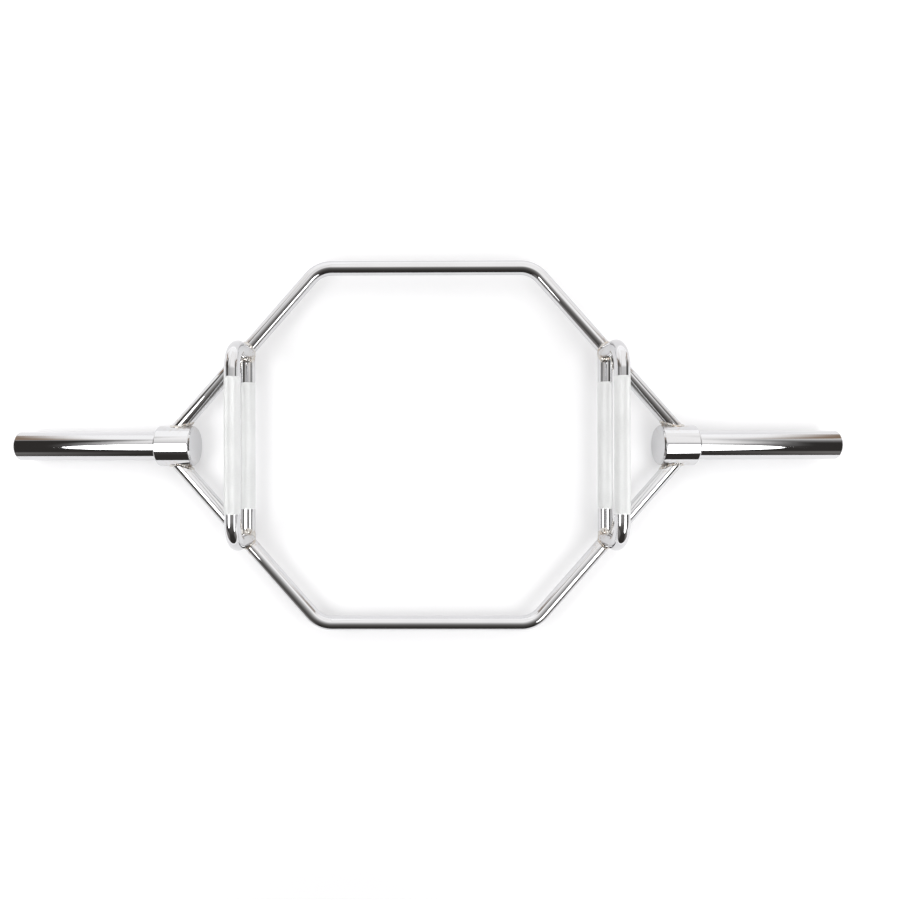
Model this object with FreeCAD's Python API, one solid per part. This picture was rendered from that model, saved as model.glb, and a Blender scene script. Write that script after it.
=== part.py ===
import FreeCAD, Part
import math
import os

# Hex trap bar for lifting: the lifter stands inside a six-sided frame of bent round bar.
# A hub at each side vertex carries a sleeve for weight plates, and a low and a high knurled
# handle run front to back beside each hub. The whole bar is one chrome-plated weldment.
# Millimetres. +X to the right, +Y to the rear, +Z up. The origin lies midway between the
# sleeves, on the floor under the hubs.

Vector = FreeCAD.Vector

# Driving dimensions: frame
overall_length = 1420.0        # end to end over both sleeves
frame_depth = 620.0            # front bar axis to rear bar axis
diagonal_angle = 48.6          # degrees between a frame diagonal and the sleeve axis
bar_diameter = 25.0            # solid round bar of the frame and the handles
frame_bend_radius = 50.0       # axis radius of the four frame corners

# Driving dimensions: hubs and sleeves
hub_diameter = 70.0
hub_length = 63.0
hub_inner_chamfer = 3.5        # bevel round the closed inner face
hub_outer_chamfer = 2.0        # bevel round the face that stops the plates
hub_end_wall = 17.0            # solid end between the hub's inner face and its bore
landing_offset = 5.5           # from the hub's middle in to where a diagonal's axis meets its surface
sleeve_diameter = 50.0
sleeve_wall = 6.0
sleeve_load_length = 244.0     # hub face to sleeve end
sleeve_end_chamfer = 2.0
shoulder = 3.0                 # step where the sleeve is turned down to enter the hub
groove_depth = 2.0             # welding groove on that shoulder, filled flush
spigot_end_space = 2.0         # between the turned-down end and the bottom of the hub's bore
disc_thickness = 8.0           # disc that closes the sleeve's outer end
disc_ledge = 1.5               # step in the sleeve that the disc seats on
disc_recess = 1.0              # disc face below the sleeve's end
disc_chamfer = 1.0

# Driving dimensions: handles
grip_length = 220.0            # knurled length, the same on all four handles
grip_margin = 12.0             # plain bar between the knurling and the high handle's bends
handle_bend_radius = 40.0      # axis radius where the high handle turns down into its legs
handle_rise = 95.0             # low handle axis to high handle axis
foot_setback = 6.0             # leg axis inboard of where the low handle meets the frame's axis
grip_relief = 0.15             # how far the knurled band stands proud of the bar
grip_run_out = 1.0             # length of the taper at each end of the knurling

# Fits
fit_up_gap = 0.2               # between a coped bar end and what it is welded to
turning_clearance = 0.05       # radial, sleeve in hub and disc in sleeve

# Welds: width is the spread away from the bar, reach is the climb along the bar
hub_weld_width = 4.0
hub_weld_reach = 4.5
low_weld_width = 3.5
low_weld_reach = 6.0
foot_weld_width = 3.5
foot_weld_reach = 4.5
weld_lip = 0.3                 # thickness of a bead's upper edge

# Worked out from the sizes above: sections and heights
bar_radius = bar_diameter / 2
hub_radius = hub_diameter / 2
sleeve_radius = sleeve_diameter / 2
bore_radius = sleeve_radius - sleeve_wall
spigot_radius = sleeve_radius - shoulder
ledge_radius = bore_radius + disc_ledge
axis_height = hub_radius
high_axis_height = axis_height + handle_rise

# Worked out from the sizes above: places from the sleeve's end in to the middle
sleeve_end_x = overall_length / 2
disc_face_x = sleeve_end_x - disc_recess
disc_seat_x = disc_face_x - disc_thickness
hub_face_x = sleeve_end_x - sleeve_load_length
hub_inner_x = hub_face_x - hub_length
hub_bore_x = hub_inner_x + hub_end_wall
spigot_end_x = hub_bore_x + spigot_end_space
landing_x = (hub_face_x + hub_inner_x) / 2 - landing_offset
slope = math.tan(math.radians(diagonal_angle))
meet_x = landing_x + hub_radius / slope
bar_y = frame_depth / 2
corner_x = meet_x - bar_y / slope

# Worked out from the sizes above: a handle sits where the frame is as wide as the handle is long
foot_y = grip_length / 2 + grip_margin + handle_bend_radius
crossing_y = foot_y + foot_setback
handle_x = meet_x - crossing_y / slope

ORIGIN = Vector(0, 0, 0)
X_AXIS = Vector(1, 0, 0)
Y_AXIS = Vector(0, 1, 0)
Z_AXIS = Vector(0, 0, 1)
FULL_TURN = 360

# Places on the right-hand rear quarter of the bar, which the other quarters mirror
sleeve_axis = Vector(0, 0, axis_height)
meet_point = Vector(meet_x, 0, axis_height)
frame_corner = Vector(corner_x, bar_y, axis_height)
diagonal_run = (frame_corner - meet_point).normalize()
inward = Vector(-diagonal_run.y, diagonal_run.x, 0)
low_start = Vector(handle_x, -crossing_y, axis_height)
low_end = Vector(handle_x, crossing_y, axis_height)
leg_foot = Vector(handle_x, foot_y, axis_height - fit_up_gap)
leg_corner = Vector(handle_x, foot_y, high_axis_height)


def across(shape):
    """The same shape on the other side, left for right."""
    return shape.mirror(ORIGIN, X_AXIS)


def endwise(shape):
    """The same shape at the other end, front for rear."""
    return shape.mirror(ORIGIN, Y_AXIS)


def to_front(point):
    """The same place at the front."""
    return Vector(point.x, -point.y, point.z)


def to_left(point):
    """The same place on the left."""
    return Vector(-point.x, point.y, point.z)


def round_bar(start, end, radius):
    """Plain round bar between two points."""
    run = end - start
    return Part.makeCylinder(radius, run.Length, start, run)


def revolved(profile, origin, along):
    """Solid turned about the line through origin, from (distance along it, radius) points."""
    points = [origin + along * distance + Z_AXIS * radius for distance, radius in profile]
    face = Part.Face(Part.makePolygon(points + points[:1]))
    return face.revolve(origin, along, FULL_TURN)


def rounded_path(points, radius):
    """Wire through the points, with a tangent arc of that radius at every inner point."""
    edges = []
    here = points[0]
    for before, corner, after in zip(points, points[1:], points[2:]):
        back = (before - corner).normalize()
        ahead = (after - corner).normalize()
        half_angle = back.getAngle(ahead) / 2
        tangent = radius / math.tan(half_angle)
        to_arc = (back + ahead).normalize() * (radius / math.sin(half_angle) - radius)
        arc_start = corner + back * tangent
        arc_end = corner + ahead * tangent
        edges.append(Part.LineSegment(here, arc_start).toShape())
        edges.append(Part.Arc(arc_start, corner + to_arc, arc_end).toShape())
        here = arc_end
    edges.append(Part.LineSegment(here, points[-1]).toShape())
    return Part.Wire(edges)


def bent_bar(points, bend_radius):
    """Round bar swept along the rounded path."""
    path = rounded_path(points, bend_radius)
    circle = Part.Circle(points[0], points[1] - points[0], bar_radius)
    return path.makePipeShell([Part.Wire(circle.toShape())], True, False)


def main_solid(shape):
    """The largest solid of a cut shape."""
    return max(shape.Solids, key=lambda solid: solid.Volume)


# Straight bodies at the joints, at any radius, for coping and welding


def diagonal_body(radius, shift=ORIGIN):
    """A frame diagonal from the sleeve axis to its corner."""
    return round_bar(meet_point + shift, frame_corner + shift, radius)


def hub_body(radius):
    """A hub without its bevels."""
    return round_bar(Vector(hub_inner_x, 0, axis_height), Vector(hub_face_x, 0, axis_height), radius)


def low_body(radius, shift=ORIGIN):
    """A low handle from the front diagonal's axis to the rear one's."""
    return round_bar(low_start + shift, low_end + shift, radius)


def leg_body(radius):
    """The straight part of a high handle's leg."""
    return round_bar(leg_foot, leg_corner - Z_AXIS * handle_bend_radius, radius)


def crossing_bars():
    """A low handle and the diagonal that it ends on, as one body."""
    return low_body(bar_radius).fuse(diagonal_body(bar_radius))


def crown(reach):
    """Offset and radius of a round crown that starts on two sides of a bar and rises above it by reach."""
    top = bar_radius + reach
    offset = (top**2 - bar_radius**2) / (2 * top)
    return offset, top - offset


# Pieces


def frame_bar():
    """Rear half of the frame: one bent bar, coped to a hub at each end."""
    points = [to_left(meet_point), to_left(frame_corner), frame_corner, meet_point]
    cope = hub_body(hub_radius + fit_up_gap)
    return main_solid(bent_bar(points, frame_bend_radius).cut([cope, across(cope)]))


def hub():
    """Turned hub with a closed inner face, bored from outside for the sleeve's turned-down end."""
    bore = spigot_radius + turning_clearance
    profile = [
        (hub_inner_x, 0),
        (hub_inner_x, hub_radius - hub_inner_chamfer),
        (hub_inner_x + hub_inner_chamfer, hub_radius),
        (hub_face_x - hub_outer_chamfer, hub_radius),
        (hub_face_x, hub_radius - hub_outer_chamfer),
        (hub_face_x, bore),
        (hub_bore_x, bore),
        (hub_bore_x, 0),
    ]
    return revolved(profile, sleeve_axis, X_AXIS)


def sleeve():
    """Plate sleeve: a tube turned down at its inner end, with a ledge for the disc at the outer end."""
    profile = [
        (spigot_end_x, bore_radius),
        (spigot_end_x, spigot_radius),
        (hub_face_x, spigot_radius),
        (hub_face_x, sleeve_radius - groove_depth),
        (hub_face_x + groove_depth, sleeve_radius),
        (sleeve_end_x - sleeve_end_chamfer, sleeve_radius),
        (sleeve_end_x, sleeve_radius - sleeve_end_chamfer),
        (sleeve_end_x, ledge_radius),
        (disc_seat_x, ledge_radius),
        (disc_seat_x, bore_radius),
    ]
    return revolved(profile, sleeve_axis, X_AXIS)


def sleeve_weld():
    """Ring of weld in the groove between hub and sleeve, dressed flush so that plates pass it."""
    profile = [
        (hub_face_x, sleeve_radius - groove_depth),
        (hub_face_x, sleeve_radius),
        (hub_face_x + groove_depth, sleeve_radius),
    ]
    return revolved(profile, sleeve_axis, X_AXIS)


def end_disc():
    """Disc that closes the sleeve's outer end."""
    radius = ledge_radius - turning_clearance
    profile = [
        (disc_seat_x, 0),
        (disc_seat_x, radius),
        (disc_face_x - disc_chamfer, radius),
        (disc_face_x, radius - disc_chamfer),
        (disc_face_x, 0),
    ]
    return revolved(profile, sleeve_axis, X_AXIS)


def grip_band(height):
    """Knurled band of a handle, as a plain cylinder with tapered ends."""
    half = grip_length / 2
    proud = bar_radius + grip_relief
    profile = [
        (-half, 0),
        (-half, bar_radius),
        (grip_run_out - half, proud),
        (half - grip_run_out, proud),
        (half, bar_radius),
        (half, 0),
    ]
    return revolved(profile, Vector(handle_x, 0, height), Y_AXIS)


def low_handle():
    """Straight handle in the plane of the frame, coped to the diagonals at both ends."""
    handle = low_body(bar_radius).fuse(grip_band(axis_height))
    cope = diagonal_body(bar_radius + fit_up_gap)
    return main_solid(handle.cut([cope, endwise(cope)]).removeSplitter())


def high_handle():
    """Raised handle: a bent bar whose two legs are coped to the low handle and the frame."""
    points = [to_front(leg_foot), to_front(leg_corner), leg_corner, leg_foot]
    handle = bent_bar(points, handle_bend_radius).fuse(grip_band(high_axis_height))
    frame_cope = diagonal_body(bar_radius + fit_up_gap)
    for cope in (low_body(bar_radius + fit_up_gap), frame_cope, endwise(frame_cope)):
        handle = handle.cut(cope)
    return main_solid(handle.removeSplitter())


def hub_weld():
    """Bead round the end of a diagonal: a skewed elliptical skirt from the bar down to the hub."""

    def ring(y, spread):
        centre = meet_point + diagonal_run * (y / diagonal_run.y)
        ellipse = Part.Ellipse(centre, bar_radius / diagonal_run.y + spread, bar_radius + spread)
        ellipse.Axis = Y_AXIS
        ellipse.XAxis = X_AXIS
        return Part.Wire(ellipse.toShape())

    top_y = hub_radius + hub_weld_reach
    bottom_y = math.sqrt(hub_radius**2 - (bar_radius + hub_weld_width) ** 2)
    flare = (hub_weld_width - weld_lip) / hub_weld_reach
    bottom_spread = weld_lip + flare * (top_y - bottom_y)
    skirt = Part.makeLoft([ring(bottom_y, bottom_spread), ring(top_y, weld_lip)], True, True)
    return main_solid(skirt.cut([diagonal_body(bar_radius), hub_body(hub_radius)]))


def foot_weld():
    """Bead round the foot of a high handle's leg: a cone cut to the crowns of the two bars under it."""
    lift, crown_radius = crown(foot_weld_reach)
    flare = (foot_weld_width - weld_lip) / foot_weld_reach
    height = fit_up_gap + bar_radius + foot_weld_reach
    top_radius = bar_radius + weld_lip
    cone = Part.makeCone(top_radius + flare * height, top_radius, height, leg_foot, Z_AXIS)
    on_low = cone.common(low_body(crown_radius, Z_AXIS * lift))
    on_frame = cone.common(diagonal_body(crown_radius, Z_AXIS * lift))
    bead = on_low.fuse(on_frame).removeSplitter()
    return main_solid(bead.cut(crossing_bars()).cut(leg_body(bar_radius)))


def low_weld():
    """Bead round the end of a low handle, on the inner flank of the diagonal and clear of the leg's bead."""
    offset, crown_radius = crown(low_weld_reach)
    bead = low_body(bar_radius + low_weld_width).common(diagonal_body(crown_radius, inward * offset))
    return main_solid(bead.cut(crossing_bars()).cut(leg_body(bar_radius)).cut(foot_weld()))


SIDE_PIECES = {
    "hub": hub,
    "sleeve": sleeve,
    "sleeve_weld": sleeve_weld,
    "end_disc": end_disc,
    "low_handle": low_handle,
    "high_handle": high_handle,
}
CORNER_PIECES = {
    "hub_weld": hub_weld,
    "low_handle_weld": low_weld,
    "high_handle_weld": foot_weld,
}


def build():
    """All pieces by node name: each is made once, at the right or the rear, and mirrored."""
    rear_bar = frame_bar()
    pieces = {"rear_frame_bar": rear_bar, "front_frame_bar": endwise(rear_bar)}
    for name, make in SIDE_PIECES.items():
        piece = make()
        pieces["right_" + name] = piece
        pieces["left_" + name] = across(piece)
    for name, make in CORNER_PIECES.items():
        bead = make()
        pieces["right_rear_" + name] = bead
        pieces["right_front_" + name] = endwise(bead)
        pieces["left_rear_" + name] = across(bead)
        pieces["left_front_" + name] = across(endwise(bead))
    return pieces


os.makedirs("parts", exist_ok=True)
for node, shape in build().items():
    shape.exportStep("parts/" + node + ".step")
    print(node, "volume", round(shape.Volume), "mm3")
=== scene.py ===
import math

import bmesh
import bpy
import numpy as np
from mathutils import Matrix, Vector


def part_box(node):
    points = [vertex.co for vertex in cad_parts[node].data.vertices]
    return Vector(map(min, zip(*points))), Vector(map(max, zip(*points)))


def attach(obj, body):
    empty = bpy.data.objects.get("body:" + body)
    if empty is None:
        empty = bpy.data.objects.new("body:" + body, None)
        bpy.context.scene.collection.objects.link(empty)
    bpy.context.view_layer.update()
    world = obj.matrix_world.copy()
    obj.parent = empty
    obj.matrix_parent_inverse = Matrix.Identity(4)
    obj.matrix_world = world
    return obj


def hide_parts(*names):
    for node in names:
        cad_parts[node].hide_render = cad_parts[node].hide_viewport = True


# Chrome hex trap bar on a white studio floor, seen from straight above.
# Metres, in the part's own frame: +X to the right, +Y to the rear, +Z up, floor at zero.

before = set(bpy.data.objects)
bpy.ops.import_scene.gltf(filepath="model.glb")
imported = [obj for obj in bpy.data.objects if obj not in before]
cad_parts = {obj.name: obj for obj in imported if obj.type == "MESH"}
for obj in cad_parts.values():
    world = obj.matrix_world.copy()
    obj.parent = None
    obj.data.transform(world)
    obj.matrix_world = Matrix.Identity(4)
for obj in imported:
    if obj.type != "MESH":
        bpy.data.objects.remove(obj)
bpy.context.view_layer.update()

# Sizes read from the frame
hub_low, hub_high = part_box("right_hub")
sleeve_low, sleeve_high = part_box("right_sleeve")
disc_low, disc_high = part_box("right_end_disc")
bar_low, bar_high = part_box("rear_frame_bar")
handle_low, handle_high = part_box("right_high_handle")
hub_radius = (hub_high.z - hub_low.z) / 2
axis_height = hub_low.z + hub_radius
sleeve_radius = (sleeve_high.z - sleeve_low.z) / 2
disc_radius = (disc_high.z - disc_low.z) / 2
bar_radius = (bar_high.z - bar_low.z) / 2
bar_y = bar_high.y - bar_radius
band_radius = (handle_high.x - handle_low.x) / 2
handle_x = (handle_high.x + handle_low.x) / 2
foot_y = handle_high.y - bar_radius
high_axis_height = handle_high.z - band_radius

# Sizes of the construction that boxes don't give
diagonal_angle = math.radians(48.6)
landing_offset = 0.0055
frame_bend_radius = 0.050
handle_bend_radius = 0.040
grip_length = 0.220
hub_inner_chamfer = 0.0035
hub_outer_chamfer = 0.002
hub_end_wall = 0.017
sleeve_wall = 0.006
sleeve_end_chamfer = 0.002
shoulder = 0.003
groove_depth = 0.002
disc_chamfer = 0.001

# Places on the right-hand rear quarter, which the other quarters mirror
slope = math.tan(diagonal_angle)
meet_x = (hub_low.x + hub_high.x) / 2 - landing_offset + hub_radius / slope
crossing_y = (meet_x - handle_x) * slope
meet_point = np.array((meet_x, 0, axis_height))
frame_corner = np.array((meet_x - bar_y / slope, bar_y, axis_height))
crossing = np.array((handle_x, crossing_y, axis_height))
foot = np.array((handle_x, foot_y, axis_height))
diagonal_run = np.array((-math.cos(diagonal_angle), math.sin(diagonal_angle), 0))
inward = np.array((-diagonal_run[1], diagonal_run[0], 0))
X_AXIS = np.array((1.0, 0.0, 0.0))
Y_AXIS = np.array((0.0, 1.0, 0.0))
Z_AXIS = np.array((0.0, 0.0, 1.0))
TO_LEFT = np.array((-1.0, 1.0, 1.0))
TO_FRONT = np.array((1.0, -1.0, 1.0))
SIDES = {"right": np.ones(3), "left": TO_LEFT}
ENDS = {"rear": np.ones(3), "front": TO_FRONT}

# Fineness of the meshes
bar_sides = 96
lathe_sides = 160
edge_ease = 0.0004
hub_ease = 0.0014
ease_steps = 6
ease_parts = 3
bend_step = math.radians(2)
run_step = 0.02
cope_margin = 0.001

# Knurling
knurl_starts = 46
knurl_helix = math.radians(30)
knurl_floor = 0.00002
knurl_height = 0.0004
knurl_run_out = 3
knurl_sink = 0.0004

# Weld beads: reach up the bar, width out on what it is welded to, ripples and unevenness
hub_bead_reach = 0.0060
hub_bead_width = 0.0024
low_bead_reach = 0.0050
low_bead_width = 0.0032
foot_bead_reach = 0.0040
foot_bead_width = 0.0050
foot_bead_swell = 0.5
bead_sides = 180
bead_steps = 9
bead_crown = 0.0007
bead_sink = 0.0008
bead_variety = 1.7
corner_share = 0.95
ripple_pitch = 0.0032
ripple_height = 0.0004
ripple_lag = 1.6
host_shift = 3
touch_tolerance = 1e-6
# Each wave of a bead's edge: how often it comes round, its height and its share of the seed
bead_waves = ((3, 0.10, 1), (7, 0.08, 2), (13, 0.05, 0))

# Plating: colours, ranges of roughness, depths of waviness and strengths of the heat tint
plate_colour = (0.67, 0.67, 0.68)
knurl_colour = (0.87, 0.88, 0.88)
weld_colour = (0.62, 0.60, 0.57)
heat_colour = (0.34, 0.21, 0.10)
plate_roughness = (0.02, 0.06)
knurl_roughness = (0.56, 0.68)
weld_roughness = (0.06, 0.20)
plate_wave = 0.00004
knurl_wave = 0.00002
weld_wave = 0.00025
frame_tint = 0.25
joint_tint = 0.45
heat_reach = 0.038
cloud_scale = 16.0
cloud_range = (0.3, 0.7)
cloud_strength = 0.5
cloud_shade = 0.94
polish_scale = 420.0
haze_range = (0.15, 0.4)
blotch_scale = 190.0
blotch_range = (0.48, 0.64)
wave_scale = 45.0

# Floor: its glow grows to the rear and far from the bar, and painted contact shade dims it close under
# the bar
floor_half = 15.0
floor_colour = (0.62, 0.62, 0.63)
floor_roughness = 0.9
glow_span = (-0.8, 0.8)
glow_levels = (0.37, 0.59)
far_span = (0.62, 2.2)
far_glow = 0.5
# Painted contact shade: how far the occlusion reaches, its samples, and the share of glow left where it
# is deepest
painted_shade_reach = 0.05
painted_shade_samples = 8
painted_shade_glow = 0.50

# Plain colours
WHITE = (1.0, 1.0, 1.0)
BLACK = (0.0, 0.0, 0.0)

# Room: sines and angles between which its zones change
tilt_span = (-math.pi / 2, math.pi / 2)
compass_span = (-1.0, 1.0)
wall_rise = (0.42, 0.64)
flank_side = (0.46, 0.56)
flank_tilt = (math.radians(-40), math.radians(-10))
screen_side = (0.72, 0.88)
screen_rear = (-0.25, -0.05)

# Reflectance of the chrome that the greys were chosen on
chosen_reflectance = 0.86
# How many times as much blue as green warmth takes away
brown_blue = 1.7

# Camera, fitted to the outline in the photo
camera_sensor = 36.0
camera_lens = 25.455
camera_shift = 0.0374
camera_place = (-0.01007, -0.00747, 1.14677)
camera_turn = (-0.0003, 0.00653, -0.0016)


def unit(vectors):
    """Vectors of length one, row by row."""
    return vectors / np.linalg.norm(vectors, axis=-1, keepdims=True)


# Shader tools


def new_material(name):
    """Empty material, its node tree and its Principled shader."""
    material = bpy.data.materials.new(name)
    material.use_nodes = True
    return material, material.node_tree, material.node_tree.nodes["Principled BSDF"]


def opaque(colour):
    """Colour with full alpha, as colour sockets want it."""
    return (*colour, 1.0)


def add_node(tree, kind, inputs=(), **settings):
    """Node of that kind, with its settings and with values or links for its inputs."""
    node = tree.nodes.new(kind)
    for key, value in settings.items():
        setattr(node, key, value)
    for key, value in dict(inputs).items():
        if isinstance(value, bpy.types.NodeSocket):
            tree.links.new(value, node.inputs[key])
        else:
            node.inputs[key].default_value = value
    return node


def calc(tree, operation, *values):
    """Result of arithmetic on one or two values."""
    return add_node(tree, "ShaderNodeMath", enumerate(values), operation=operation).outputs["Value"]


def vector_calc(tree, operation, *vectors):
    """Outputs of arithmetic on one or two vectors."""
    return add_node(tree, "ShaderNodeVectorMath", enumerate(vectors), operation=operation).outputs


def product(tree, *values):
    """Values multiplied."""
    result = values[0]
    for value in values[1:]:
        result = calc(tree, "MULTIPLY", result, value)
    return result


def total(tree, *values):
    """Values added up."""
    result = values[0]
    for value in values[1:]:
        result = calc(tree, "ADD", result, value)
    return result


def own_place(tree):
    """Place in the object's own coordinates."""
    return add_node(tree, "ShaderNodeTexCoord").outputs["Object"]


def split(tree, vector):
    """A vector's parts, by axis."""
    return add_node(tree, "ShaderNodeSeparateXYZ", {"Vector": vector}).outputs


def noise(tree, scale):
    """Noise over the object's own coordinates."""
    inputs = {"Vector": own_place(tree), "Scale": scale}
    return add_node(tree, "ShaderNodeTexNoise", inputs).outputs["Fac"]


def remap(tree, value, source, goal=(0.0, 1.0), kind="LINEAR"):
    """Value mapped from the source range to the goal range, and kept within it."""
    inputs = {"Value": value, "From Min": source[0], "From Max": source[1]}
    inputs.update({"To Min": goal[0], "To Max": goal[1]})
    return add_node(tree, "ShaderNodeMapRange", inputs, interpolation_type=kind).outputs["Result"]


def soft_remap(tree, value, source, goal=(0.0, 1.0)):
    """The same with a soft start and a soft end."""
    return remap(tree, value, source, goal, "SMOOTHSTEP")


def ramp(tree, value, stops):
    """Colour by a value from 0 to 1, blended between stops."""
    node = add_node(tree, "ShaderNodeValToRGB", {"Fac": value})
    elements = node.color_ramp.elements
    elements.remove(elements[1])
    for number, (place, colour) in enumerate(stops):
        element = elements[0] if number == 0 else elements.new(place)
        element.position = place
        element.color = opaque(colour)
    return node.outputs["Color"]


def mixed(tree, share, first, second):
    """Colour between first and second."""
    node = add_node(tree, "ShaderNodeMix", {"Factor": share}, data_type="RGBA")
    for socket, colour in ((node.inputs["A"], first), (node.inputs["B"], second)):
        if isinstance(colour, bpy.types.NodeSocket):
            tree.links.new(colour, socket)
        else:
            socket.default_value = opaque(colour)
    return node.outputs["Result"]


# Materials


def near_welds(tree):
    """One at the welded joints, falling to nothing at the heat's reach, alike in all four quarters."""
    folded = vector_calc(tree, "ABSOLUTE", own_place(tree))["Vector"]
    landing = meet_point + diagonal_run * (hub_radius / diagonal_run[1])
    masks = []
    for joint in (landing, crossing + Z_AXIS * bar_radius):
        gap = vector_calc(tree, "DISTANCE", folded, joint)["Value"]
        masks.append(soft_remap(tree, gap, (bar_radius, heat_reach), (1.0, 0.0)))
    return calc(tree, "MAXIMUM", *masks)


def chrome(name, colour, roughness, wave_depth, tint):
    """Chrome plate: bright metal, faintly uneven, with a straw tint where welding heated it."""
    material, tree, shader = new_material(name)
    shader.inputs["Metallic"].default_value = 1.0
    clouds = noise(tree, cloud_scale)
    haze = product(tree, clouds, noise(tree, polish_scale))
    tree.links.new(soft_remap(tree, haze, haze_range, roughness), shader.inputs["Roughness"])
    blotches = soft_remap(tree, noise(tree, blotch_scale), blotch_range, (0.0, tint))
    heat = product(tree, near_welds(tree), blotches)
    clouding = soft_remap(tree, clouds, cloud_range, (0.0, cloud_strength))
    shade = mixed(tree, clouding, colour, tuple(cloud_shade * part for part in colour))
    tree.links.new(mixed(tree, heat, shade, heat_colour), shader.inputs["Base Color"])
    bump = add_node(tree, "ShaderNodeBump", {"Height": noise(tree, wave_scale), "Distance": wave_depth})
    tree.links.new(bump.outputs["Normal"], shader.inputs["Normal"])
    return material


def floor_white():
    """Pale floor that is white to the eye and in the chrome, takes the bar's soft shadow from the
    lamps, and has painted contact shade close under the bar.
    """
    material, tree, shader = new_material("studio_floor")
    shader.inputs["Base Color"].default_value = opaque(floor_colour)
    shader.inputs["Roughness"].default_value = floor_roughness
    shader.inputs["Specular IOR Level"].default_value = 0.0
    shader.inputs["Emission Color"].default_value = opaque(WHITE)
    path = add_node(tree, "ShaderNodeLightPath").outputs
    seen = total(tree, path["Is Camera Ray"], path["Is Glossy Ray"], path["Is Transmission Ray"])
    # Painted contact shade: ambient occlusion dims the floor's glow close under the bar, and the chrome
    # mirrors that too
    painted_contact_shade = add_node(tree, "ShaderNodeAmbientOcclusion", samples=painted_shade_samples)
    painted_contact_shade.inputs["Distance"].default_value = painted_shade_reach
    place = own_place(tree)
    rear_glow = remap(tree, split(tree, place)["Y"], glow_span, glow_levels)
    centre_gap = vector_calc(tree, "LENGTH", place)["Value"]
    level = total(tree, rear_glow, soft_remap(tree, centre_gap, far_span, (0.0, far_glow)))
    glow = product(tree, level, remap(tree, painted_contact_shade.outputs["AO"], (0.0, 1.0), (painted_shade_glow, 1.0)))
    tree.links.new(product(tree, seen, glow), shader.inputs["Emission Strength"])
    return material


polished = chrome("polished_chrome", plate_colour, plate_roughness, plate_wave, frame_tint)
handle_chrome = chrome("handle_chrome", plate_colour, plate_roughness, plate_wave, joint_tint)
knurl_chrome = chrome("knurl_chrome", knurl_colour, knurl_roughness, knurl_wave, 0.0)
weld_chrome = chrome("weld_chrome", weld_colour, weld_roughness, weld_wave, joint_tint)


# Mesh tools


def add_piece(name, points, faces, material, node=None, normals=None, smooth=True):
    """Mesh piece that rides on the bar and, where a node is named, stands for it."""
    mesh = bpy.data.meshes.new(name)
    mesh.from_pydata(points.tolist(), [], faces)
    shaped = bmesh.new()
    shaped.from_mesh(mesh)
    bmesh.ops.recalc_face_normals(shaped, faces=shaped.faces)
    shaped.to_mesh(mesh)
    shaped.free()
    if smooth:
        mesh.shade_smooth()
    else:
        mesh.shade_flat()
    if normals is not None:
        mesh.normals_split_custom_set_from_vertices(normals.tolist())
    mesh.materials.append(material)
    piece = bpy.data.objects.new(name, mesh)
    bpy.context.scene.collection.objects.link(piece)
    if node:
        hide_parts(node)
    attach(piece, "root")


def grid_faces(rings, sides, loop=False):
    """Faces between rings with equal numbers of points and, in a loop, from the last to the first."""
    faces = []
    for ring in range(rings if loop else rings - 1):
        here = ring * sides
        there = (ring + 1) % rings * sides
        for side in range(sides):
            after = (side + 1) % sides
            faces.append((here + side, here + after, there + after, there + side))
    return faces


def capped(points, rings, sides):
    """Points and faces of a skin of rings, with a fan over each end."""
    faces = grid_faces(rings, sides)
    caps = []
    for first in (0, (rings - 1) * sides):
        centre = len(points) + len(caps)
        caps.append(points[first : first + sides].mean(axis=0))
        faces += [(first + side, first + (side + 1) % sides, centre) for side in range(sides)]
    return np.vstack([points, caps]), faces


def eased(profile, loop, widest):
    """Profile points and outward normals, each corner eased over at most a third of an edge."""
    corners = np.array(profile)
    points, normals = [], []
    for index, corner in enumerate(corners):
        if not loop and index in (0, len(corners) - 1):
            points.append(corner)
            step = corners[1] - corner if index == 0 else corner - corners[-2]
            normals.append(unit(np.array((-step[1], step[0]))))
            continue
        back = corner - corners[index - 1]
        ahead = corners[(index + 1) % len(corners)] - corner
        ease = min(widest, np.linalg.norm(back) / ease_parts, np.linalg.norm(ahead) / ease_parts)
        before, after = unit(back), unit(ahead)
        for share in np.linspace(0, 1, ease_steps + 1):
            points.append(corner + ease * (after * share**2 - before * (1 - share) ** 2))
            run = before * (1 - share) + after * share
            normals.append(unit(np.array((-run[1], run[0]))))
    return np.array(points), np.array(normals)


def lathe(name, profile, loop, material, widest_ease=edge_ease):
    """The same turned piece on both sides, from (distance along the sleeve axis, radius) points."""
    flat, leaning = eased(profile, loop, widest_ease)
    turn = np.linspace(0, 2 * math.pi, lathe_sides, endpoint=False)
    round_y, round_z = np.cos(turn), np.sin(turn)
    off_axis = flat[:, 1] > edge_ease / 2
    rings = int(off_axis.sum())
    points = np.zeros((rings, lathe_sides, 3))
    normals = np.zeros((rings, lathe_sides, 3))
    for goal, source in ((points, flat[off_axis]), (normals, leaning[off_axis])):
        goal[:, :, 0] = source[:, :1]
        goal[:, :, 1] = source[:, 1:] * round_y
        goal[:, :, 2] = source[:, 1:] * round_z
    points = points.reshape(-1, 3) + Z_AXIS * axis_height
    normals = normals.reshape(-1, 3)
    if loop:
        faces = grid_faces(rings, lathe_sides, True)
    else:
        points, faces = capped(points, rings, lathe_sides)
        normals = np.vstack([normals, -X_AXIS, X_AXIS])
    for side, flip in SIDES.items():
        node = side + "_" + name
        add_piece(node, points * flip, faces, material, node, normals * flip)


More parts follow.
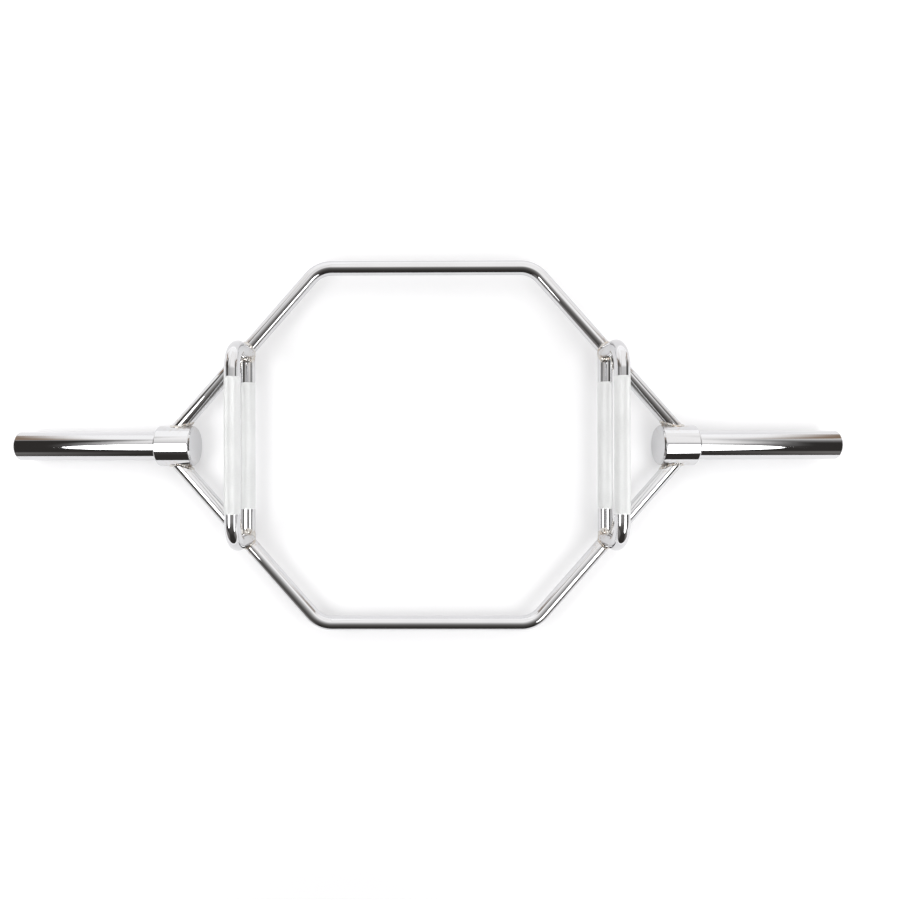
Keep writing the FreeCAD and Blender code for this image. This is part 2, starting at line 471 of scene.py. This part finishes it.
def path_stations(corners, bend_radius):
    """Points and directions along straight runs joined by arcs of that radius."""
    points, runs = [], []

    def straight(start, end):
        count = max(2, math.ceil(np.linalg.norm(end - start) / run_step) + 1)
        for share in np.linspace(0, 1, count):
            points.append(start + (end - start) * share)
            runs.append(unit(end - start))

    here = corners[0]
    for before, corner, after in zip(corners, corners[1:], corners[2:]):
        back, ahead = unit(before - corner), unit(after - corner)
        half = math.acos(float(back @ ahead)) / 2
        centre = corner + unit(back + ahead) * (bend_radius / math.sin(half))
        arc_start = corner + back * (bend_radius / math.tan(half))
        straight(here, arc_start)
        turn = math.pi - 2 * half
        out, along = unit(arc_start - centre), -back
        steps = math.ceil(turn / bend_step)
        for angle in np.linspace(0, turn, steps + 1)[1:-1]:
            points.append(centre + bend_radius * (out * math.cos(angle) + along * math.sin(angle)))
            runs.append(along * math.cos(angle) - out * math.sin(angle))
        here = corner + ahead * (bend_radius / math.tan(half))
    straight(here, corners[-1])
    return np.array(points), np.array(runs)


def round_offsets(across, level):
    """Points round a bar's axis, at its radius."""
    turn = np.linspace(0, 2 * math.pi, bar_sides, endpoint=False)
    return bar_radius * (np.cos(turn)[:, None] * across + np.sin(turn)[:, None] * level)


def bar_skin(stations, runs, level):
    """Round skin along stations whose path lies across level: points and normals, ring by ring."""
    lean = np.array([round_offsets(np.cross(level, run), level) for run in runs]) / bar_radius
    return stations[:, None, :] + lean * bar_radius, lean


# Where a bar's end meets what it is welded to: the travel along the bar, for offsets from its axis


def travel_to_hub(offset):
    """Along a rear diagonal, from the sleeve axis to the hub's surface."""
    return (np.sqrt(hub_radius**2 - offset[..., 2] ** 2) - offset[..., 1]) / diagonal_run[1]


def travel_to_frame(offset):
    """Along a low handle to the rear, from where it crosses the diagonal's axis to its flank."""
    flank = np.sqrt(np.maximum(bar_radius**2 - offset[..., 2] ** 2, 0))
    return (flank - inward[0] * offset[..., 0]) / inward[1]


def height_on_bars(offset):
    """Up a rear leg, from the low handle's axis to the top of the low handle and the diagonal."""
    on_low = np.sqrt(np.maximum(bar_radius**2 - offset[..., 0] ** 2, 0))
    gap = inward[0] * offset[..., 0] + inward[1] * (offset[..., 1] + foot_y - crossing_y)
    on_frame = np.sqrt(np.maximum(bar_radius**2 - gap**2, 0))
    return np.maximum(on_low, on_frame)


# Pieces


def add_bar(name, skin, lean, flip, material):
    """Bar from rings of points and normals, closed at both ends."""
    rings, sides = skin.shape[:2]
    points, faces = capped(skin.reshape(-1, 3), rings, sides)
    centres = skin.mean(axis=1)
    ends = unit(np.array((centres[0] - centres[1], centres[-1] - centres[-2])))
    normals = np.vstack([lean.reshape(-1, 3), ends])
    add_piece(name, points * flip, faces, material, name, normals * flip)


def with_ends(skin, lean, first, last):
    """Rings of a bar with its coped end rings added."""
    rings = np.concatenate([first[None], skin, last[None]])
    return rings, np.concatenate([lean[:1], lean, lean[-1:]])


def frame_bars():
    """Front and rear halves of the frame: one bent bar each, coped to the hubs."""
    ring = round_offsets(np.cross(Z_AXIS, diagonal_run), Z_AXIS)
    clear = meet_point + diagonal_run * (travel_to_hub(ring).max() + cope_margin)
    corners = [clear * TO_LEFT, frame_corner * TO_LEFT, frame_corner, clear]
    skin, lean = bar_skin(*path_stations(corners, frame_bend_radius), Z_AXIS)
    last = lean[-1] * bar_radius
    last = meet_point + last + diagonal_run * travel_to_hub(last)[:, None]
    first = lean[0] * bar_radius
    first = meet_point * TO_LEFT + first + diagonal_run * TO_LEFT * travel_to_hub(first)[:, None]
    skin, lean = with_ends(skin, lean, first, last)
    for end, flip in ENDS.items():
        add_bar(end + "_frame_bar", skin, lean, flip, polished)


def low_handles():
    """Straight handles in the plane of the frame, coped to the diagonals."""
    ring = round_offsets(X_AXIS, Z_AXIS)
    clear = crossing + Y_AXIS * (travel_to_frame(ring).min() - cope_margin)
    skin, lean = bar_skin(*path_stations([clear * TO_FRONT, clear], 0), Z_AXIS)
    last = lean[-1] * bar_radius
    last = crossing + last + Y_AXIS * travel_to_frame(last)[:, None]
    first = last * TO_FRONT
    skin, lean = with_ends(skin, lean, first, last)
    for side, flip in SIDES.items():
        add_bar(side + "_low_handle", skin, lean, flip, handle_chrome)


def high_handles():
    """Raised handles: bent bars whose legs are coped to the low handles and the frame."""
    clear = foot + Z_AXIS * (bar_radius + cope_margin)
    corner = np.array((handle_x, foot_y, high_axis_height))
    corners = [clear * TO_FRONT, corner * TO_FRONT, corner, clear]
    skin, lean = bar_skin(*path_stations(corners, handle_bend_radius), X_AXIS)
    last = lean[-1] * bar_radius
    last = foot + last + Z_AXIS * height_on_bars(last)[:, None]
    first = lean[0] * bar_radius
    first = foot * TO_FRONT + first + Z_AXIS * height_on_bars(first * TO_FRONT)[:, None]
    skin, lean = with_ends(skin, lean, first, last)
    for side, flip in SIDES.items():
        add_bar(side + "_high_handle", skin, lean, flip, handle_chrome)


def hubs():
    """Turned hubs with a closed, bevelled inner face."""
    bore = sleeve_radius - shoulder
    profile = [
        (hub_low.x, 0),
        (hub_low.x, hub_radius - hub_inner_chamfer),
        (hub_low.x + hub_inner_chamfer, hub_radius),
        (hub_high.x - hub_outer_chamfer, hub_radius),
        (hub_high.x, hub_radius - hub_outer_chamfer),
        (hub_high.x, bore),
        (hub_low.x + hub_end_wall, bore),
        (hub_low.x + hub_end_wall, 0),
    ]
    lathe("hub", profile, False, polished, hub_ease)


def sleeves():
    """Plate sleeves, turned down to enter the hubs and bevelled at the outer end."""
    bore = sleeve_radius - sleeve_wall
    profile = [
        (sleeve_low.x, bore),
        (sleeve_low.x, sleeve_radius - shoulder),
        (hub_high.x, sleeve_radius - shoulder),
        (hub_high.x, sleeve_radius - groove_depth),
        (hub_high.x + groove_depth, sleeve_radius),
        (sleeve_high.x - sleeve_end_chamfer, sleeve_radius),
        (sleeve_high.x, sleeve_radius - sleeve_end_chamfer),
        (sleeve_high.x, disc_radius),
        (disc_low.x, disc_radius),
        (disc_low.x, bore),
    ]
    lathe("sleeve", profile, True, polished)


def end_discs():
    """Discs that close the sleeves' outer ends."""
    profile = [
        (disc_low.x, 0),
        (disc_low.x, disc_radius),
        (disc_high.x - disc_chamfer, disc_radius),
        (disc_high.x, disc_radius - disc_chamfer),
        (disc_high.x, 0),
    ]
    lathe("end_disc", profile, False, polished)


def knurled_grips():
    """Diamond knurling on the four handles: rows of points that stand proud and sink by turns."""
    columns = 2 * knurl_starts
    row_pitch = math.pi * bar_radius / knurl_starts / math.tan(knurl_helix)
    rows = round(grip_length / row_pitch)
    turn = np.arange(columns) * 2 * math.pi / columns
    row_number = np.arange(rows + 1)
    raised = (row_number[:, None] + np.arange(columns)[None, :]) % 2
    fade = np.minimum(np.minimum(row_number, rows - row_number) / knurl_run_out, 1)
    radius = bar_radius + knurl_floor + knurl_height * raised * fade[:, None]
    radius = np.vstack([radius, np.full((2, columns), bar_radius - knurl_sink)])
    along = np.linspace(-grip_length / 2, grip_length / 2, rows + 1)
    along = np.append(along, [grip_length / 2, -grip_length / 2])
    along = np.broadcast_to(along[:, None], radius.shape)
    points = np.stack([radius * np.cos(turn), along, radius * np.sin(turn)], axis=-1).reshape(-1, 3)
    faces = []
    for first, second, third, fourth in grid_faces(len(radius), columns, True):
        row, column = divmod(first, columns)
        if row < rows and (row + column) % 2 == 0:
            faces += [(first, second, third), (first, third, fourth)]
        else:
            faces += [(second, third, fourth), (second, fourth, first)]
    for side, flip in SIDES.items():
        for level, height in (("low", axis_height), ("high", high_axis_height)):
            placed = (points + np.array((handle_x, 0, height))) * flip
            name = side + "_" + level + "_grip"
            add_piece(name, placed, faces, knurl_chrome, smooth=False)


# Welds: rippled beads along the curves where a bar's end meets what it is welded to


def unevenness(count, seed):
    """How far a bead's edge swells and shrinks, at that many places round it."""
    turn = np.arange(count) * 2 * math.pi / count
    swell = np.ones(count)
    for waves, height, seed_share in bead_waves:
        swell += height * np.sin(waves * turn + seed_share * seed)
    return swell


def bead(name, joint, along, bar_normal, host_normal, reach, width, seed):
    """Closed bead on a joint curve, from reach up the bar to width out on the host."""
    count = len(joint)
    steps = np.linalg.norm(np.roll(joint, -1, axis=0) - joint, axis=1)
    distance = np.concatenate([[0], np.cumsum(steps)[:-1]])
    ripples = round(steps.sum() / ripple_pitch)
    phase = 2 * math.pi * ripples * distance / steps.sum()
    alike = (bar_normal * host_normal).sum(axis=1)
    openness = 1 - corner_share * alike
    uneven = unevenness(count, seed) * openness
    aside = unit(bar_normal - alike[:, None] * host_normal)
    outward = unit(bar_normal + host_normal)
    up = along * (reach * uneven)[:, None]
    # The edge on the host swells elsewhere than the edge on the bar
    out = aside * (width * np.roll(uneven, count // host_shift))[:, None]
    section = [joint + up - bar_normal * bead_sink]
    for share in np.linspace(0, 1, bead_steps):
        lag = ripple_lag * (2 * share - 1) ** 2
        ripple = bead_crown + ripple_height * np.cos(phase + seed + lag)
        lift = outward * (openness * ripple * 4 * share * (1 - share))[:, None]
        section.append(joint + up * (1 - share) + out * share + lift)
    section.append(joint + out - host_normal * bead_sink)
    section.append(joint - outward * bead_sink)
    points = np.stack(section, axis=1).reshape(-1, 3)
    faces = grid_faces(count, len(section), True)
    add_piece(name, points, faces, weld_chrome, name)


def quarter_beads(name, joint, along, bar_normal, host_normal, reach, width):
    """The same joint's bead in all four quarters, each with its own unevenness."""
    for number, (side, end) in enumerate((side, end) for side in SIDES for end in ENDS):
        flip = SIDES[side] * ENDS[end]
        node = side + "_" + end + "_" + name
        parts = [part * flip for part in (joint, along, bar_normal, host_normal)]
        bead(node, *parts, reach, width, number * bead_variety)


def bead_ring(across, level):
    """Unit vectors round a bar for a bead, clear of the places where equal bars run into each other."""
    turn = (np.arange(bead_sides) + 0.5) * 2 * math.pi / bead_sides
    return np.cos(turn)[:, None] * across + np.sin(turn)[:, None] * level


def off_diagonal(gap):
    """What is left of vectors from the crossing once their run along the diagonal is taken out."""
    return gap - (gap @ diagonal_run)[:, None] * diagonal_run


def hub_welds():
    """Beads round the ends of the frame bars."""
    ring = bead_ring(np.cross(Z_AXIS, diagonal_run), Z_AXIS)
    offset = ring * bar_radius
    joint = meet_point + offset + diagonal_run * travel_to_hub(offset)[:, None]
    host = unit((joint - meet_point) * (Y_AXIS + Z_AXIS))
    along = np.broadcast_to(diagonal_run, ring.shape)
    quarter_beads("hub_weld", joint, along, ring, host, hub_bead_reach, hub_bead_width)


def low_welds():
    """Beads round the ends of the low handles."""
    ring = bead_ring(X_AXIS, Z_AXIS)
    offset = ring * bar_radius
    joint = crossing + offset + Y_AXIS * travel_to_frame(offset)[:, None]
    host = unit(off_diagonal(joint - crossing))
    along = np.broadcast_to(-Y_AXIS, ring.shape)
    quarter_beads("low_handle_weld", joint, along, ring, host, low_bead_reach, low_bead_width)


def foot_welds():
    """Beads round the feet of the high handles' legs, wider towards the middle of the handle."""
    ring = bead_ring(X_AXIS, Y_AXIS)
    offset = ring * bar_radius
    joint = foot + offset + Z_AXIS * height_on_bars(offset)[:, None]
    gap = joint - crossing
    from_diagonal = off_diagonal(gap)
    on_low = unit(gap * (X_AXIS + Z_AXIS))
    frame_distance = np.linalg.norm(from_diagonal, axis=1)
    touches_frame = np.abs(frame_distance - bar_radius) < touch_tolerance
    host = np.where(touches_frame[:, None], unit(from_diagonal), on_low)
    along = np.broadcast_to(Z_AXIS, ring.shape)
    width = foot_bead_width * (1 + foot_bead_swell * np.maximum(-ring[:, 1], 0))
    quarter_beads("high_handle_weld", joint, along, ring, host, foot_bead_reach, width)


hubs()
sleeves()
end_discs()
frame_bars()
low_handles()
high_handles()
knurled_grips()
hub_welds()
low_welds()
foot_welds()

# Studio: floor, light and camera


def flat_sheet(name, start, across, along, material):
    """Four-cornered sheet from its first corner and two of its edges."""
    corners = np.array((start, start + across, start + across + along, start + along))
    mesh = bpy.data.meshes.new(name)
    mesh.from_pydata(corners.tolist(), [], [(0, 1, 2, 3)])
    mesh.materials.append(material)
    sheet = bpy.data.objects.new(name, mesh)
    bpy.context.scene.collection.objects.link(sheet)
    return sheet


def make_floor():
    """Large level floor under the hubs."""
    start = -floor_half * (X_AXIS + Y_AXIS)
    across, along = X_AXIS * 2 * floor_half, Y_AXIS * 2 * floor_half
    floor = flat_sheet("studio_floor", start, across, along, floor_white())


def softbox(name, centre, size, turn, radiance):
    """Oval soft light that faces straight down and shows in the chrome, but not to the camera."""
    light = bpy.data.lights.new(name, "AREA")
    light.shape = "ELLIPSE"
    light.size, light.size_y = size
    light.energy = radiance * math.pi * (math.pi * size[0] * size[1] / 4)
    lamp = bpy.data.objects.new(name, light)
    lamp.location = centre
    lamp.rotation_euler.z = math.radians(turn)
    lamp.visible_camera = False
    bpy.context.scene.collection.objects.link(lamp)


def glow_with_edges(name, edges, colour):
    """Glowing material; edges say, by axis, where it is clear and where it is full."""
    material, tree, shader = new_material(name)
    parts = split(tree, own_place(tree))
    covers = [soft_remap(tree, parts[axis], clear_to_full) for axis, clear_to_full in edges.items()]
    shader.inputs["Base Color"].default_value = opaque(BLACK)
    shader.inputs["Specular IOR Level"].default_value = 0.0
    shader.inputs["Emission Color"].default_value = opaque(colour)
    shader.inputs["Emission Strength"].default_value = 1.0
    tree.links.new(product(tree, *covers), shader.inputs["Alpha"])
    return material


def chrome_only(name, start, across, along, edges, colour):
    """Glowing sheet that shows in the chrome and nowhere else."""
    sheet = flat_sheet(name, start, across, along, glow_with_edges(name, edges, colour))
    sheet.visible_camera = False
    sheet.visible_diffuse = False
    sheet.visible_shadow = False


def panel(name, height, x_range, y_range, colour):
    """Level panel overhead; each range is where it is clear, where it is full, and its end."""
    start = np.array((x_range[0], y_range[0], height))
    across = X_AXIS * (x_range[2] - x_range[0])
    along = Y_AXIS * (y_range[2] - y_range[0])
    chrome_only(name, start, across, along, {"X": x_range[:2], "Y": y_range[:2]}, colour)


def board(name, y, top, x_range, colour):
    """Upright board on the floor; its range is where it is clear, where it is full, and its end."""
    start = np.array((x_range[0], y, 0.0))
    across = X_AXIS * (x_range[2] - x_range[0])
    chrome_only(name, start, across, Z_AXIS * top, {"X": x_range[:2]}, colour)


def grey(level, warmth=0.0):
    """Grey that chrome mirrors at that level, turned towards brown by warmth."""
    level = level * chosen_reflectance / plate_colour[0]
    return (level, level * (1 - warmth), level * (1 - brown_blue * warmth))


dark = grey(0.032, 0.08)
cream = grey(0.97, 0.012)
brown = grey(0.25, 0.28)
# Colours overhead, by tilt from the front horizon over the top to the rear one
ceiling_stops = [
    (0.20, dark),
    (0.36, grey(0.09, 0.05)),
    (0.44, grey(0.18, 0.04)),
    (0.50, grey(0.31, 0.02)),
    (0.56, grey(0.52)),
    (0.65, grey(0.82, 0.01)),
    (0.73, grey(0.99, 0.012)),
]
# Colours near the horizon, by compass direction from the front to the rear
wall_stops = [
    (0.05, dark),
    (0.10, grey(0.17, 0.04)),
    (0.34, grey(0.28, 0.04)),
    (0.43, grey(0.58)),
    (0.57, grey(0.55)),
    (0.63, grey(0.28, 0.12)),
    (0.70, grey(0.32, 0.08)),
    (0.78, grey(0.92, 0.012)),
    (0.86, grey(0.90, 0.02)),
    (0.955, grey(1.06)),
]
screen_white = grey(0.98)


def studio_world():
    """Room round the bar: light to the rear and the sides, dark in front, and white for the camera."""
    world = bpy.data.worlds.new("studio")
    bpy.context.scene.world = world
    world.use_nodes = True
    tree = world.node_tree
    direction = add_node(tree, "ShaderNodeTexCoord").outputs["Generated"]
    parts = split(tree, direction)
    tilt = calc(tree, "ARCTAN2", parts["Y"], parts["Z"])
    aside = calc(tree, "ABSOLUTE", parts["X"])
    flattened = vector_calc(tree, "MULTIPLY", direction, X_AXIS + Y_AXIS)["Vector"]
    compass = vector_calc(tree, "NORMALIZE", flattened)["Vector"]
    rearward = split(tree, compass)["Y"]

    ceiling = ramp(tree, remap(tree, tilt, tilt_span), ceiling_stops)
    walls = ramp(tree, remap(tree, rearward, compass_span), wall_stops)
    to_right = soft_remap(tree, parts["X"], screen_side)
    screen = product(tree, to_right, soft_remap(tree, rearward, screen_rear, (1.0, 0.0)))
    walls = mixed(tree, screen, walls, screen_white)
    to_rear = soft_remap(tree, tilt, flank_tilt)
    flank = product(tree, soft_remap(tree, aside, flank_side), to_rear)
    ceiling = mixed(tree, flank, ceiling, walls)
    room = mixed(tree, soft_remap(tree, parts["Z"], wall_rise, (1.0, 0.0)), ceiling, walls)
    path = add_node(tree, "ShaderNodeLightPath").outputs
    seen = total(tree, path["Is Camera Ray"], path["Is Transmission Ray"])
    shown = mixed(tree, seen, room, WHITE)
    tree.links.new(shown, tree.nodes["Background"].inputs["Color"])


def make_camera():
    """Camera almost straight above the bar."""
    data = bpy.data.cameras.new("camera")
    data.sensor_width = camera_sensor
    data.lens = camera_lens
    data.shift_x = camera_shift
    camera = bpy.data.objects.new("camera", data)
    camera.location = camera_place
    camera.rotation_euler = camera_turn
    bpy.context.scene.collection.objects.link(camera)
    bpy.context.scene.camera = camera


def coat_nodes():
    """The same plating on the part's own nodes, for those that no piece stands for."""
    for node_name, node_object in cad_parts.items():
        coat = weld_chrome if node_name.endswith("weld") else polished
        node_object.data.materials.clear()
        node_object.data.materials.append(coat)


make_floor()
softbox("left_softbox", centre=(-0.89, -0.21, 1.05), size=(0.60, 0.85), turn=-12, radiance=5.4)
softbox("right_softbox", centre=(0.86, -0.56, 1.05), size=(0.74, 1.20), turn=0, radiance=4.0)
panel("left_panel", height=1.07, x_range=(-0.98, -1.26, -3.0), y_range=(1.60, 0.85, -1.2), colour=dark)
panel("right_panel", height=1.07, x_range=(1.00, 1.30, 3.0), y_range=(1.70, 0.20, -1.2), colour=dark)
panel("rear_panel", height=2.0, x_range=(-0.75, -0.35, 3.0), y_range=(0.15, 0.75, 6.0), colour=cream)
board("left_board", y=0.84, top=0.75, x_range=(-1.00, -1.30, -1.4), colour=brown)
board("right_board", y=0.84, top=0.75, x_range=(1.00, 1.30, 1.4), colour=brown)
studio_world()
make_camera()
coat_nodes()
bpy.context.scene.view_settings.view_transform = "Standard"
